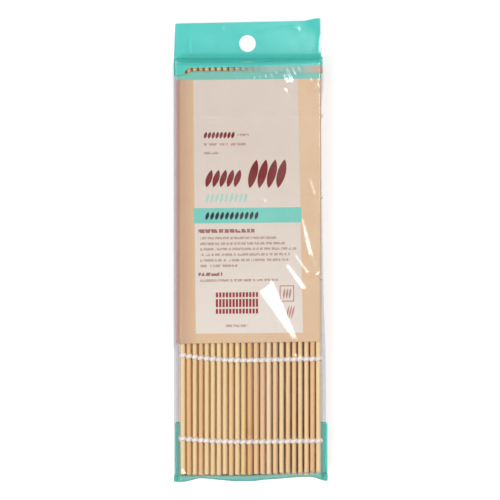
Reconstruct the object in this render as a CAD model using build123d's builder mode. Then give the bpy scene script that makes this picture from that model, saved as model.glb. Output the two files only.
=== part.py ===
"""A bamboo sushi rolling mat, folded in three and packed in its flat retail bag.

The mat is 69 round bamboo sticks twined together by five pairs of cotton strands.
It lies Z-folded: the back panel is at the bottom, the middle panel lies on it and
the front panel is on top. A paper insert covers the front panel, and a clear film
bag with a printed header and an adhesive flap holds it all.

Millimetres. X runs across the sticks, Y along them towards the header and Z up,
out of the bag's front. The origin is under the middle of the bag, on its back.
"""
import os

from build123d import *

os.makedirs("parts", exist_ok=True)

# Bamboo sticks
stick_length = 240.0
stick_diameter = 2.85
stick_gap = 0.73
stick_end_rounding = 0.3
sticks_per_panel = 23

# Cotton cords: two flat strands in each row, one over and one under every stick
cord_rows = 5
cord_width = 1.3
cord_clearance = 0.04
strand_gap = 0.1
bottom_row_margin = 20.0
top_row_margin = 28.0
joint_trim_angle = 4.0
end_knot_radius = 0.45

# Layers of the folded mat, and of what covers it
lay_gap = 0.2
insert_thickness = 0.15
insert_length = 160.8
insert_top_margin = 1.2
insert_wrap_height = 6.5
insert_fold_radius = 1.0

# Film bag
film_thickness = 0.1
side_slope = 1.9
side_seam_width = 1.5
crown_slope = 6.0
mouth_slope = 3.9
bag_taper = 2.2
film_corner_radius = 1.2

# Printed header with its hang hole
header_height = 23.7
header_slant = 3.8
header_narrowing = 1.4
header_film_overlap = 1.0
hang_hole_diameter = 10.0
hang_hole_height = 8.8

# Adhesive flap, folded behind the bag at its mouth
flap_length = 35.2
flap_side_inset = 1.0
flap_corner_radius = 4.0
adhesive_thickness = 0.05
adhesive_width = 12.0
adhesive_margin = 5.0
film_step_length = 1.2

# Sizes that follow from these
stick_radius = stick_diameter / 2
stick_pitch = stick_diameter + stick_gap
twine_radius = stick_pitch / 2
cord_thickness = stick_gap - 2 * cord_clearance
strand_offset = (cord_width + strand_gap) / 2
layer_spacing = twine_radius + cord_thickness / 2 + stick_radius + lay_gap
end_knot_offset = stick_radius + cord_clearance + end_knot_radius
mat_half_width = (sticks_per_panel - 1) * twine_radius + end_knot_offset + end_knot_radius

seal_thickness = 2 * film_thickness
raised_film_z = seal_thickness
film_foot_z = raised_film_z + film_thickness
header_thickness = film_foot_z
back_layer_z = film_foot_z + lay_gap + cord_thickness / 2 + twine_radius
middle_layer_z = back_layer_z + layer_spacing
front_layer_z = middle_layer_z + layer_spacing
insert_bottom_z = front_layer_z + twine_radius + cord_thickness / 2 + lay_gap
insert_top_z = insert_bottom_z + insert_thickness
film_top_z = insert_top_z + lay_gap + film_thickness

film_top_half_width = mat_half_width + insert_thickness + 2 * lay_gap + film_thickness
film_foot_half_width = film_top_half_width + side_slope
bag_half_width = film_foot_half_width + side_seam_width
mouth_allowance = mouth_slope + film_thickness + lay_gap
crown_allowance = crown_slope + film_thickness + lay_gap
bag_length = mouth_allowance + stick_length + crown_allowance + header_height
bag_bottom_y = -bag_length / 2
mat_bottom_y = bag_bottom_y + mouth_allowance
mat_top_y = mat_bottom_y + stick_length
seal_line_y = mat_top_y + crown_allowance
bag_top_y = seal_line_y + header_height
flap_end_y = bag_bottom_y + flap_length

middle_stick = (sticks_per_panel - 1) / 2
stick_places = [(index - middle_stick) * stick_pitch for index in range(sticks_per_panel)]
row_pitch = (stick_length - bottom_row_margin - top_row_margin) / (cord_rows - 1)
row_places = [mat_bottom_y + bottom_row_margin + row * row_pitch for row in range(cord_rows)]
first_lane = strand_offset
second_lane = -strand_offset


def write(piece, name):
    """Label a finished piece and write it under its own name."""
    piece.part.label = name
    export_step(piece.part, f"parts/{name}.step")


def bag_right_x(y):
    """Where the bag's right edge runs: the bag narrows evenly from its mouth to its top."""
    return bag_half_width - bag_taper * (y - bag_bottom_y) / bag_length


with BuildPart() as stick:
    with BuildSketch(Plane.XZ.offset(-mat_top_y)):
        Circle(stick_radius)
    extrude(amount=stick_length)
    chamfer(stick.edges().filter_by(GeomType.CIRCLE), stick_end_rounding)


def ring_sector(x, z, first_angle, last_angle):
    """The side view of a strand bent round one stick, between two angles above +X."""
    outer = twine_radius + cord_thickness / 2
    inner = twine_radius - cord_thickness / 2
    turn = last_angle - first_angle
    with BuildSketch(Plane.XZ) as sector:
        with BuildLine():
            wide = CenterArc((x, z), outer, first_angle, turn)
            tight = CenterArc((x, z), inner, first_angle, turn)
            Line(wide @ 0, tight @ 0)
            Line(wide @ 1, tight @ 1)
        make_face()
    return sector.sketch


def panel_strand(over_first, stops_left, stops_right):
    """A strand twined through a whole panel, over one stick and under the next, at Y = 0.

    It stops at the crown of its last stick where it turns there into the next panel,
    and otherwise runs on to the far side of that stick.
    """
    with BuildPart() as strand:
        with BuildSketch(Plane.XZ):
            for index, x in enumerate(stick_places):
                side = 1 if (index % 2 == 0) == over_first else -1
                start = 90 if index == 0 and stops_left else 180
                end = 90 if index == sticks_per_panel - 1 and stops_right else 0
                add(ring_sector(x, 0, side * start, side * end))
        extrude(amount=cord_width / 2, both=True)
    return strand.part


def one_turn(first_angle, last_angle):
    """A strand's turn round a single stick, at Y = 0."""
    with BuildPart() as turn:
        with BuildSketch(Plane.XZ):
            add(ring_sector(0, 0, first_angle, last_angle))
        extrude(amount=cord_width / 2, both=True)
    return turn.part


def in_rows(lane, x=0, z=0):
    """The place of one lane's strand in every cord row."""
    return [(x, y + lane, z) for y in row_places]


with BuildPart() as end_knot:
    with BuildSketch(Plane.XZ):
        Circle(end_knot_radius)
    extrude(amount=cord_width + strand_gap / 2, both=True)

# Back panel, the bottom layer: its first edge is free, its last edge folds up
with BuildPart() as back_slats:
    with Locations(*[(x, 0, back_layer_z) for x in stick_places]):
        add(stick.part)
write(back_slats, "back_slats")

with BuildPart() as back_cords:
    with Locations(*in_rows(first_lane, 0, back_layer_z)):
        add(panel_strand(True, False, True))
    with Locations(*in_rows(second_lane, 0, back_layer_z)):
        add(panel_strand(False, False, False))
    with Locations(*in_rows(0, stick_places[0] - end_knot_offset, back_layer_z)):
        add(end_knot.part)
write(back_cords, "back_cords")

# Middle panel: it hangs on the back panel at its right edge and on the front one at its left
with BuildPart() as middle_slats:
    with Locations(*[(x, 0, middle_layer_z) for x in stick_places]):
        add(stick.part)
write(middle_slats, "middle_slats")

with BuildPart() as middle_cords:
    with Locations(*in_rows(first_lane, 0, middle_layer_z)):
        add(panel_strand(True, True, False))
    with Locations(*in_rows(second_lane, 0, middle_layer_z)):
        add(panel_strand(False, False, True))
write(middle_cords, "middle_cords")

# Front panel, the top layer: each stick carries its own turns of cord, so that the panel can roll
odd_turns = {first_lane: 1, second_lane: -1}
for index, x in enumerate(stick_places):
    number = f"{index + 1:02d}"
    with BuildPart() as front_slat:
        with Locations((x, 0, front_layer_z)):
            add(stick.part)
    write(front_slat, f"front_slat_{number}")

    is_first = index == 0
    is_last = index == sticks_per_panel - 1
    with BuildPart() as front_turns:
        for lane, odd_side in odd_turns.items():
            side = odd_side if index % 2 == 0 else -odd_side
            left_angle = 180 - joint_trim_angle
            if is_first:
                left_angle = 180 if side > 0 else 90
            right_angle = 0 if is_last else joint_trim_angle
            turn = one_turn(side * right_angle, side * left_angle)
            with Locations(*in_rows(lane, x, front_layer_z)):
                add(turn)
        if is_last:
            with Locations(*in_rows(0, x + end_knot_offset, front_layer_z)):
                add(end_knot.part)
    write(front_turns, f"front_cords_{number}")


# Cords across the two folds: each strand rises between two layers at the mat's edge
rise = layer_spacing - 2 * twine_radius


def fold_strand(edge_side, curls_first, z):
    """A strand at the mat's edge that rises to the next layer, curling in at one end."""
    edge_x = edge_side * stick_places[-1]
    out = edge_side * twine_radius
    bend_z = z + 2 * twine_radius if curls_first else z + rise
    straight_z = bend_z if curls_first else z
    bend_start = 0 if edge_side > 0 else 180
    bend_end = edge_side * -90 if curls_first else edge_side * 90
    if edge_side < 0:
        bend_end = 270 if curls_first else 90
    with BuildPart() as strand:
        with BuildSketch(Plane.XZ):
            with Locations((edge_x + out, straight_z + rise / 2)):
                Rectangle(cord_thickness, rise)
            add(ring_sector(edge_x, bend_z, bend_start, bend_end))
        extrude(amount=cord_width / 2, both=True)
    return strand.part


with BuildPart() as fold_cords_right:
    with Locations(*in_rows(first_lane)):
        add(fold_strand(1, True, back_layer_z))
    with Locations(*in_rows(second_lane)):
        add(fold_strand(1, False, back_layer_z))
write(fold_cords_right, "fold_cords_right")

with BuildPart() as fold_cords_left:
    with Locations(*in_rows(first_lane)):
        add(fold_strand(-1, True, middle_layer_z))
    with Locations(*in_rows(second_lane)):
        add(fold_strand(-1, False, middle_layer_z))
write(fold_cords_left, "fold_cords_left")

# Paper insert: it lies on the front panel, and its two long sides are folded down
insert_half_width = mat_half_width + lay_gap + insert_thickness
insert_top_y = mat_top_y - insert_top_margin
with BuildPart() as insert_sheet:
    with BuildSketch(Plane.XZ.offset(-insert_top_y)):
        with BuildLine() as fold_line:
            Polyline(
                (-insert_half_width, insert_top_z - insert_wrap_height),
                (-insert_half_width, insert_top_z),
                (insert_half_width, insert_top_z),
                (insert_half_width, insert_top_z - insert_wrap_height),
            )
            fillet(fold_line.vertices().group_by(Axis.Y)[-1], insert_fold_radius)
            offset(amount=-insert_thickness, side=Side.RIGHT)
        make_face()
    extrude(amount=insert_length)
write(insert_sheet, "insert_sheet")


def bag_outline(bottom_y, top_y, inset=0.0):
    """The corners of the bag's outline between two places along it."""
    return [
        (-bag_half_width + inset, bottom_y),
        (bag_right_x(bottom_y) - inset, bottom_y),
        (bag_right_x(top_y) - inset, top_y),
        (-bag_half_width + inset, top_y),
    ]


# Back film: flat on the table, with a step up over the flap that is folded under it
step_start_y = flap_end_y + lay_gap
step_end_y = step_start_y + film_step_length
with BuildPart() as bag_back_film:
    with BuildSketch(Plane.YZ.offset(-bag_half_width)):
        Polygon(
            (seal_line_y, 0),
            (seal_line_y, film_thickness),
            (step_end_y, film_thickness),
            (step_start_y, film_foot_z),
            (bag_bottom_y, film_foot_z),
            (bag_bottom_y, raised_film_z),
            (step_start_y, raised_film_z),
            (step_end_y, 0),
            align=None,
        )
    extrude(amount=2 * bag_half_width)
    with BuildSketch():
        Polygon(*bag_outline(bag_bottom_y, seal_line_y), align=None)
    extrude(amount=film_foot_z, mode=Mode.INTERSECT)
write(bag_back_film, "bag_back_film")

# Side seams: both films welded together in a narrow strip along each long side
with BuildPart() as bag_side_seams:
    with BuildSketch(Plane.XY.offset(film_thickness)):
        Polygon(*bag_outline(step_end_y, seal_line_y), align=None)
        Polygon(
            *bag_outline(step_end_y, seal_line_y, side_seam_width + film_thickness),
            align=None,
            mode=Mode.SUBTRACT,
        )
    extrude(amount=seal_thickness)
write(bag_side_seams, "bag_side_seams")


def film_form(inset):
    """The space under the front film: it narrows from its foot on the seams to its flat top."""
    foot_start_y = bag_bottom_y + inset
    foot_end_y = seal_line_y + header_film_overlap - inset
    crown_half_width = film_top_half_width - inset
    crown_start_y = mat_bottom_y - lay_gap - film_thickness + inset
    crown_end_y = mat_top_y + lay_gap + film_thickness - inset
    with BuildPart() as form:
        with BuildSketch(Plane.XY.offset(film_foot_z)):
            Polygon(*bag_outline(foot_start_y, foot_end_y, side_seam_width + inset), align=None)
        with BuildSketch(Plane.XY.offset(film_top_z - inset)):
            Polygon(
                (-crown_half_width, crown_start_y),
                (crown_half_width, crown_start_y),
                (crown_half_width, crown_end_y),
                (-crown_half_width, crown_end_y),
                align=None,
            )
        loft()
        raised_edges = form.edges().filter_by_position(Axis.Z, film_foot_z + film_thickness, film_top_z)
        fillet(raised_edges, film_corner_radius - inset)
    return form.part


with BuildPart() as bag_front_film:
    add(film_form(0))
    add(film_form(film_thickness), mode=Mode.SUBTRACT)
write(bag_front_film, "bag_front_film")

# Header: both films welded flat and printed, cut off at a slight slant
header_left_x = -bag_half_width
header_right_x = bag_right_x(bag_top_y) - header_narrowing
hang_hole_x = (header_left_x + header_right_x) / 2
hang_hole_y = seal_line_y + hang_hole_height
with BuildPart() as bag_header:
    with BuildSketch():
        Polygon(
            (header_left_x, seal_line_y),
            (bag_right_x(seal_line_y), seal_line_y),
            (header_right_x, bag_top_y),
            (header_left_x, bag_top_y - header_slant),
            align=None,
        )
        with Locations((hang_hole_x, hang_hole_y)):
            Circle(hang_hole_diameter / 2, mode=Mode.SUBTRACT)
    extrude(amount=header_thickness)
write(bag_header, "bag_header")

# Flap: the front film's free end, folded behind the bag and stuck to the back film
with BuildPart() as bag_flap:
    with BuildSketch():
        Polygon(*bag_outline(bag_bottom_y, flap_end_y, flap_side_inset), align=None)
        fillet(vertices().group_by(Axis.Y)[-1], flap_corner_radius)
    extrude(amount=film_thickness)
write(bag_flap, "bag_flap")

adhesive_end_y = flap_end_y - adhesive_margin
adhesive_start_y = adhesive_end_y - adhesive_width
adhesive_inset = flap_side_inset + adhesive_margin
with BuildPart() as flap_adhesive:
    with BuildSketch(Plane.XY.offset(film_thickness)):
        Polygon(*bag_outline(adhesive_start_y, adhesive_end_y, adhesive_inset), align=None)
    extrude(amount=adhesive_thickness)
write(flap_adhesive, "flap_adhesive")
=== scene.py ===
# A bamboo sushi rolling mat, folded in three in its flat film bag, lying on a pale table.
# Metres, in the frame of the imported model: X across the sticks, Y towards the header, Z up.
import math
import random

import bpy
import numpy as np
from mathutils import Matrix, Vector, noise


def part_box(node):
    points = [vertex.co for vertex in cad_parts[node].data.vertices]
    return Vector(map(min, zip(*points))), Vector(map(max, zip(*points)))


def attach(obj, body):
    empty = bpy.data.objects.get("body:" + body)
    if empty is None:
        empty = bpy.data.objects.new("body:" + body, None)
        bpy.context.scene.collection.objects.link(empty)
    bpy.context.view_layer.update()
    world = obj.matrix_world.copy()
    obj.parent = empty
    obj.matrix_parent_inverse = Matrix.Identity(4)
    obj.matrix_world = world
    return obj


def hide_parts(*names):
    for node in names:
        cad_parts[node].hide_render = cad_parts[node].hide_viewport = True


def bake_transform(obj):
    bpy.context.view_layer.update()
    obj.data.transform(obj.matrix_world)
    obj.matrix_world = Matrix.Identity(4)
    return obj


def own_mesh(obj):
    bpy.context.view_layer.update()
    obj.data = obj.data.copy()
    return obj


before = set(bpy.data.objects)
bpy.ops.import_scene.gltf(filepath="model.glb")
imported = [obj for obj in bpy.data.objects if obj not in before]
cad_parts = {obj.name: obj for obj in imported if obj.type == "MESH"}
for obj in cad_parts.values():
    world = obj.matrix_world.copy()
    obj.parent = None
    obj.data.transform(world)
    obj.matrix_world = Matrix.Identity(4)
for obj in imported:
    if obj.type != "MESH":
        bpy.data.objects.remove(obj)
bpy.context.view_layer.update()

# Bamboo sticks: split from the cane, drawn round and dried, with the cane's fibres along them and
# here and there the scar of a node. No two have the same tone, and their cut ends aren't in line.
mm = 0.001
stick_low, stick_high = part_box("front_slat_12")
stick_radius = (stick_high.x - stick_low.x) / 2
stick_overhang = 1.0 * mm
stick_top_y = stick_high.y + stick_overhang
stick_length = stick_top_y - stick_low.y
stick_middle_y = (stick_top_y + stick_low.y) / 2
stick_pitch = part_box("front_slat_13")[0].x - stick_low.x
sticks_per_panel = 23
edge_stick_x = (sticks_per_panel - 1) / 2 * stick_pitch
panel_nodes = {"back": "back_slats", "middle": "middle_slats", "front": "front_slat_12"}
panel_z = {panel: sum(corner.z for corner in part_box(node)) / 2 for panel, node in panel_nodes.items()}
stick_sides = 18
stick_bending_rings = 29
cut_end_rounding = 0.22 * mm
cut_end_zone = 0.1 * mm
stick_girths = (0.93, 0.995)
most_bow = 0.16 * mm
most_end_shift = 0.35 * mm
ripple_share = 0.022
ripples_per_metre = 60
node_share = 0.025
node_length = 1.4 * mm
scar_length = 0.45 * mm
scar_chance = 0.75
scar_reach_share = 0.6
far_off = 9.0
most_drift = 1.9 * mm
drift_start_x = -5 * mm
drift_power = 1.3
smooth_angle = math.radians(50)
stick_tones = random.Random(7)


def select_only(piece):
    """Leave one piece selected and active, as a click on it would."""
    bpy.ops.object.select_all(action="DESELECT")
    piece.select_set(True)
    bpy.context.view_layer.objects.active = piece


def finish_modifiers(piece):
    """Apply every modifier of a piece."""
    select_only(piece)
    for modifier in list(piece.modifiers):
        bpy.ops.object.modifier_apply(modifier=modifier.name)


def linear(red, green, blue):
    """A colour as it is seen, 0 to 255, in the linear values that a shader takes."""
    shares = [value / 255 for value in (red, green, blue)]
    return [s / 12.92 if s <= 0.04045 else ((s + 0.055) / 1.055) ** 2.4 for s in shares] + [1.0]


def new_material(name):
    """An empty node material and a function that adds a node with its settings and inputs."""
    material = bpy.data.materials.new(name)
    material.use_nodes = True
    tree = material.node_tree
    tree.nodes.clear()

    def add(kind, settings=None, **inputs):
        node = tree.nodes.new(kind)
        for key, value in (settings or {}).items():
            setattr(node, key, value)
        for key, value in inputs.items():
            socket = node.inputs[int(key[1:])] if key[0] == "_" else node.inputs[key.replace("_", " ")]
            if isinstance(value, bpy.types.NodeSocket):
                tree.links.new(value, socket)
            else:
                socket.default_value = value
        return node

    return material, add


def paint_ramp(node, stops):
    """Set a colour ramp's stops."""
    ramp = node.color_ramp
    while len(ramp.elements) > 1:
        ramp.elements.remove(ramp.elements[-1])
    ramp.elements[0].position, ramp.elements[0].color = stops[0]
    for place, colour in stops[1:]:
        ramp.elements.new(place).color = colour


def reckoner(add):
    """A function that reckons with two values or sockets in a material's nodes."""
    def reckon(kind, first, second):
        return add("ShaderNodeMath", {"operation": kind}, _0=first, _1=second).outputs[0]

    return reckon


def coloured_over(add, share, under, over, way="MIX"):
    """One colour laid over another by a share; each may be a value or a socket."""
    layer = add("ShaderNodeMix", {"data_type": "RGBA", "blend_type": way}, _0=share, _6=under, _7=over)
    return layer.outputs[2]


def bamboo_material():
    """Pale bamboo: a tone of its own for each stick, long fibres, darker scars at the nodes, and painted
    shade on the flanks.
    """
    material, add = new_material("bamboo")
    reckon = reckoner(add)
    tone = add("ShaderNodeAttribute", {"attribute_name": "tone"}).outputs["Fac"]
    scar = add("ShaderNodeAttribute", {"attribute_name": "scar"}).outputs["Fac"]
    place = add("ShaderNodeTexCoord").outputs["Object"]
    shade = add("ShaderNodeValToRGB", Fac=tone)
    paint_ramp(shade, [
        (0.0, linear(238, 188, 128)),
        (0.25, linear(248, 210, 154)),
        (0.5, linear(254, 226, 172)),
        (0.72, linear(246, 214, 142)),
        (0.88, linear(250, 204, 164)),
        (1.0, linear(255, 238, 198)),
    ])
    fibre_place = add("ShaderNodeMapping", Vector=place, Scale=(2600, 24, 2600)).outputs[0]
    fibre = add("ShaderNodeTexNoise", Vector=fibre_place, Scale=1.0, Detail=3.0, Roughness=0.6).outputs["Fac"]
    streak_place = add("ShaderNodeMapping", Vector=place, Scale=(700, 9, 700)).outputs[0]
    streak = add("ShaderNodeTexNoise", Vector=streak_place, Scale=1.0, Detail=2.0).outputs["Fac"]
    fibre_shade = add("ShaderNodeMapRange", Value=fibre, To_Min=0.86, To_Max=1.08).outputs[0]
    streak_shade = add("ShaderNodeMapRange", Value=streak, To_Min=0.86, To_Max=1.1).outputs[0]
    both = reckon("MULTIPLY", fibre_shade, streak_shade)
    toned = add("ShaderNodeVectorMath", {"operation": "SCALE"}, _0=shade.outputs[0], Scale=both).outputs[0]
    scarred = coloured_over(add, reckon("MULTIPLY", scar, 0.55), toned, linear(166, 112, 62))
    # Painted shade: where a stick's round flank turns away towards the gaps, its colour is multiplied by a
    # warm brown that stands in for the shade between the sticks.
    turned = add("ShaderNodeLayerWeight", Blend=0.5).outputs["Facing"]
    flank_shade_share = add("ShaderNodeMapRange", Value=turned, From_Min=0.35, From_Max=1.0, To_Max=0.8).outputs[0]
    flank_shaded = coloured_over(add, flank_shade_share, scarred, linear(202, 130, 60), "MULTIPLY")
    rough = add("ShaderNodeMapRange", Value=fibre, To_Min=0.38, To_Max=0.62).outputs[0]
    bump = add("ShaderNodeBump", Height=fibre, Strength=0.22, Distance=0.00012).outputs[0]
    skin = add("ShaderNodeBsdfPrincipled", Base_Color=flank_shaded, Roughness=rough, Normal=bump)
    add("ShaderNodeOutputMaterial", Surface=skin.outputs[0])
    return material


def master_stick():
    """A round stick at the origin, along Y, with rings to bend it at and softened cut ends."""
    bpy.ops.mesh.primitive_cylinder_add(vertices=stick_sides, radius=stick_radius, depth=stick_length,
                                        rotation=(math.pi / 2, 0, 0))
    stick = bpy.context.object
    bpy.ops.object.transform_apply(rotation=True)
    bpy.context.tool_settings.mesh_select_mode = (False, True, False)
    bpy.ops.object.mode_set(mode="EDIT")
    bpy.ops.mesh.select_all(action="DESELECT")
    bpy.ops.object.mode_set(mode="OBJECT")
    for edge in stick.data.edges:
        ends = [stick.data.vertices[index].co.y for index in edge.vertices]
        edge.select = abs(ends[0] - ends[1]) > stick_radius
    bpy.ops.object.mode_set(mode="EDIT")
    bpy.ops.mesh.subdivide(number_cuts=stick_bending_rings)
    bpy.ops.mesh.select_all(action="DESELECT")
    bpy.ops.object.mode_set(mode="OBJECT")
    for edge in stick.data.edges:
        ends = [abs(stick.data.vertices[index].co.y) for index in edge.vertices]
        edge.select = min(ends) > stick_length / 2 - cut_end_zone
    bpy.ops.object.mode_set(mode="EDIT")
    bpy.ops.mesh.bevel(offset=cut_end_rounding, segments=2)
    bpy.ops.object.mode_set(mode="OBJECT")
    bpy.ops.object.shade_smooth_by_angle(angle=smooth_angle)
    return stick


def front_body(index):
    """The body that a front stick rides on: the first carries two sticks, each of the others three."""
    return f"front_{(index + 1) // 3 + 1:02d}"


def front_drift(x):
    """How far a front stick has slid up: more and more towards the right."""
    return most_drift * np.maximum(0, (x - drift_start_x) / edge_stick_x) ** drift_power


def grown_stick(master, x, z, drift):
    """A copy of the master stick at its place: slightly bowed, uneven in girth, one tone."""
    stick = master.copy()
    stick.data = master.data.copy()
    bpy.context.collection.objects.link(stick)
    girth = stick_tones.uniform(*stick_girths)
    bow = stick_tones.uniform(-most_bow, most_bow)
    end_shift = stick_tones.uniform(-most_end_shift, most_end_shift) + drift
    seed = stick_tones.uniform(0, 90)
    tone = stick_tones.random()
    has_scar = stick_tones.random() < scar_chance
    scar_y = stick_tones.uniform(-scar_reach_share, scar_reach_share) * stick_length if has_scar else far_off
    count = len(stick.data.vertices)
    scars = np.zeros(count, np.float32)
    for index, vertex in enumerate(stick.data.vertices):
        y = vertex.co.y
        along = y / (stick_length / 2)
        ripple = 1 + ripple_share * noise.noise(Vector((seed, y * ripples_per_metre, 0.3)))
        swelling = node_share * math.exp(-((y - scar_y) / node_length) ** 2)
        scars[index] = math.exp(-((y - scar_y) / scar_length) ** 2)
        width = girth * (ripple + swelling)
        vertex.co.x = vertex.co.x * width + bow * (1 - along * along) + x
        vertex.co.z = vertex.co.z * width + z
        vertex.co.y = y + stick_middle_y + end_shift
    tones = stick.data.attributes.new("tone", "FLOAT", "POINT")
    tones.data.foreach_set("value", np.full(count, tone, np.float32))
    marks = stick.data.attributes.new("scar", "FLOAT", "POINT")
    marks.data.foreach_set("value", scars)
    return stick


def join_pieces(pieces, name):
    """Join like pieces into one and name it."""
    bpy.ops.object.select_all(action="DESELECT")
    for piece in pieces:
        piece.select_set(True)
    bpy.context.view_layer.objects.active = pieces[0]
    bpy.ops.object.join()
    joined = bpy.context.object
    joined.name = name
    return joined


bamboo = bamboo_material()
bpy.ops.object.select_all(action="DESELECT")
stick_master = master_stick()
stick_master.data.materials.append(bamboo)
even_places = [(index - (sticks_per_panel - 1) / 2) * stick_pitch for index in range(sticks_per_panel)]
# How far the sticks of each layer have strayed sideways, in mm, at places across the mat
stray_places = (-39, -24, -5, 10, 22, 32, 39)
strays = {
    "front": (-0.9, -1.3, -1.1, -0.45, 0.2, 0.5, 0.3),
    "middle": (0.95, 0.2, -0.1, 0.3, 0.4, 0.4, 0.35),
    "back": (-1.1, -1.1, -1.1, -0.9, -0.6, -0.5, -0.4),
}
stick_places = {
    panel: [x + np.interp(x / mm, stray_places, shifts) * mm for x in even_places]
    for panel, shifts in strays.items()
}
for index, x in enumerate(stick_places["front"]):
    number = f"{index + 1:02d}"
    stick = grown_stick(stick_master, x, panel_z["front"], front_drift(x))
    stick.name = f"bamboo_stick_{number}"
    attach(stick, front_body(index))
    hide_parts(f"front_slat_{number}")
for panel in ("middle", "back"):
    row = [grown_stick(stick_master, x, panel_z[panel], 0.0) for x in stick_places[panel]]
    sticks = join_pieces(row, f"bamboo_sticks_{panel}")
    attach(sticks, f"{panel}_panel")
    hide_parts(f"{panel}_slats")
bpy.data.objects.remove(stick_master)

# Cotton cords: two soft white strands in each of five rows, twined over and under every stick, a
# half turn round each other in every gap. The cotton is fluffy, and its fine hairs stand out.
cord_rows = 5
row_inset = 1.35 * mm
row_low, row_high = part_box("front_cords_12")
row_first_y = row_low.y + row_inset
row_last_y = row_high.y - row_inset
row_step = (row_last_y - row_first_y) / (cord_rows - 1)
row_floor_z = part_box("bag_back_film")[1].z
row_drop = 0.5 * mm
row_left_rise = 2.3 * mm
row_left_start_share = 0.1
row_right_rise = 0.6 * mm
second_row_gain = 1.5
second_row_lift = 0.45 * mm
strand_half_width = 1.2 * mm
strand_half_thickness = 0.36 * mm
strand_swing = 0.32 * mm
strand_sides = 8
strand_steps = 9
strand_fullness = 0.45
cord_reach = stick_pitch / 2
lumps = ((0.16, 1900), (0.1, 4300))
front_hairs = 26
hidden_hairs = 4
knot_hairs = 14
hair_half_width = 0.04 * mm
hair_curl = 0.6
hair_root_share = 0.8
hair_lengths = (0.6 * mm, 1.3 * mm)
knot_hair_lengths = (0.6 * mm, 1.0 * mm)
knot_gap = 0.35 * mm
knot_reach = Vector((0.28, 0.7, 1.1)) * mm
cord_hairs = random.Random(21)


def cotton_material():
    """White cotton: matt, fibrous, a little dull between the twists."""
    material, add = new_material("cotton")
    place = add("ShaderNodeTexCoord").outputs["Object"]
    lay = add("ShaderNodeTexNoise", Vector=place, Scale=5200.0, Detail=3.0, Roughness=0.65).outputs["Fac"]
    blotch = add("ShaderNodeTexNoise", Vector=place, Scale=420.0, Detail=2.0).outputs["Fac"]
    shade = add("ShaderNodeValToRGB", Fac=reckoner(add)("MULTIPLY", lay, blotch))
    paint_ramp(shade, [
        (0.05, linear(226, 214, 204)),
        (0.3, linear(247, 240, 236)),
        (0.6, linear(254, 252, 251)),
    ])
    bump = add("ShaderNodeBump", Height=lay, Strength=0.5, Distance=0.0002).outputs[0]
    fuzz = add("ShaderNodeBsdfPrincipled", Base_Color=shade.outputs[0], Roughness=0.9, Normal=bump)
    fuzz.inputs["Sheen Weight"].default_value = 0.35
    fuzz.inputs["Sheen Roughness"].default_value = 0.4
    add("ShaderNodeOutputMaterial", Surface=fuzz.outputs[0])
    return material


def row_y_at(row, x):
    """Where a cord row runs: it drifts up at both ends, the left one more, and the second row most."""
    share = x / edge_stick_x
    left_rise = row_left_rise * max(0.0, -share - row_left_start_share) ** 2
    drift = left_rise + row_right_rise * max(0.0, share) - row_drop
    if row == 1:
        drift = second_row_gain * drift + second_row_lift
    return row_first_y + row * row_step + drift


def strand_point(places, index, z, y, lane, phase):
    """A point on one strand at a stick: phase -0.5 to 0.5 is gap to gap."""
    turn = math.pi * phase
    swing = lane * strand_swing * math.sin(turn)
    height = lane * cord_reach * max(0.0, math.cos(turn)) ** strand_fullness
    beside = index + (1 if phase > 0 else -1)
    has_neighbour = 0 <= beside < sticks_per_panel
    pitch = abs(places[beside] - places[index]) if has_neighbour else stick_pitch
    return Vector((places[index] + phase * pitch, y + swing, z + height))


def tube_round(vertices, faces, path, crossways):
    """Add a soft flat tube along a path, closed at both ends, to lists of corners and faces."""
    start = len(vertices)
    for index, point in enumerate(path):
        ahead = path[min(index + 1, len(path) - 1)]
        behind = path[max(index - 1, 0)]
        tangent = (ahead - behind).normalized()
        wide = (crossways - tangent * crossways.dot(tangent)).normalized()
        thick = tangent.cross(wide)
        lump = 1 + sum(share * noise.noise(point * per_metre) for share, per_metre in lumps)
        for corner in range(strand_sides):
            angle = 2 * math.pi * corner / strand_sides
            across = wide * (math.cos(angle) * strand_half_width * lump)
            vertices.append(point + across + thick * (math.sin(angle) * strand_half_thickness * lump))
    rings = len(path)
    for ring in range(rings - 1):
        for corner in range(strand_sides):
            here = start + ring * strand_sides + corner
            beside = start + ring * strand_sides + (corner + 1) % strand_sides
            faces.append((here, beside, beside + strand_sides, here + strand_sides))
    faces.append(tuple(start + corner for corner in reversed(range(strand_sides))))
    faces.append(tuple(start + (rings - 1) * strand_sides + corner for corner in range(strand_sides)))


def add_hair(vertices, faces, root, direction, length):
    """A fine loose fibre: a thin three-sided spike that curls as it rises."""
    start = len(vertices)
    side = direction.cross(Vector((0.3, 0.8, 0.5))).normalized()
    up = direction.cross(side)
    curl = side * cord_hairs.uniform(-hair_curl, hair_curl) + up * cord_hairs.uniform(-hair_curl, hair_curl)
    for step, width in ((0.0, 1.0), (0.5, 0.8)):
        centre = root + direction * (length * step) + curl * (length * step * step)
        for corner in range(3):
            angle = 2 * math.pi * corner / 3
            outwards = side * math.cos(angle) + up * math.sin(angle)
            vertices.append(centre + outwards * (hair_half_width * width))
    vertices.append(root + direction * length + curl * length)
    for corner in range(3):
        beside = (corner + 1) % 3
        faces.append((start + corner, start + beside, start + 3 + beside, start + 3 + corner))
        faces.append((start + 3 + corner, start + 3 + beside, start + 6))
    faces.append((start + 2, start + 1, start))


def mesh_piece(name, vertices, faces, material):
    """Make a smooth mesh piece of corners and faces."""
    mesh = bpy.data.meshes.new(name)
    mesh.from_pydata([tuple(v) for v in vertices], [], faces)
    mesh.materials.append(material)
    piece = bpy.data.objects.new(name, mesh)
    bpy.context.collection.objects.link(piece)
    select_only(piece)
    bpy.ops.object.mode_set(mode="EDIT")
    bpy.ops.mesh.select_all(action="SELECT")
    bpy.ops.mesh.normals_make_consistent(inside=False)
    bpy.ops.object.mode_set(mode="OBJECT")
    bpy.ops.object.shade_smooth()
    return piece


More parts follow.
